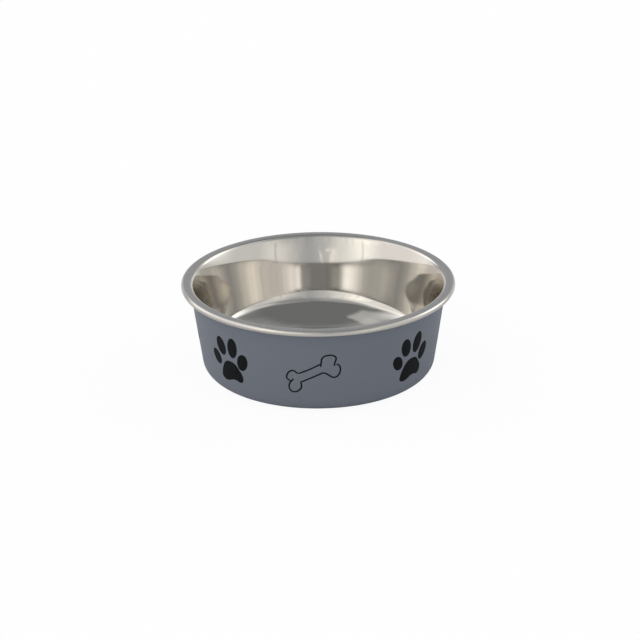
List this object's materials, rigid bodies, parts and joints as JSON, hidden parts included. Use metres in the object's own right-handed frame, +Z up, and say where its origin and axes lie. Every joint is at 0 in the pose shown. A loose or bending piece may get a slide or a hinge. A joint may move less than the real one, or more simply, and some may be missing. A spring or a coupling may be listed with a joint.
{
  "type": "pet bowl",
  "caption": "Double-walled round feeding bowl: a drawn steel well with a rolled rim, a tapered moulded shell around it and a rubber ring underneath that it lifts off.",
  "frame": {"origin": "centre of the resting plane, under the rubber ring", "axes": "+Z up along the bowl's axis of symmetry; -Y is the side that carries the bone print in the middle of the picture, +X is to the right there"},
  "size_m": [0.17, 0.17, 0.059],
  "materials": {
    "stainless_steel": "bright polished well, satin rim",
    "shell_plastic": "matte blue-grey",
    "rubber": "matt black",
    "print_ink": "black pad-printed ink on the shell"
  },
  "bodies": {
    "ring": {"rubber_ring": "rubber"},
    "bowl": {"steel_bowl": "stainless_steel", "outer_shell": "shell_plastic"}
  },
  "joints": [
    {"name": "bowl_lifts_off_ring", "type": "slide", "parent": "ring", "child": "bowl", "axis": [0, 0, 1], "range_m": [0, 0.015]}
  ]
}
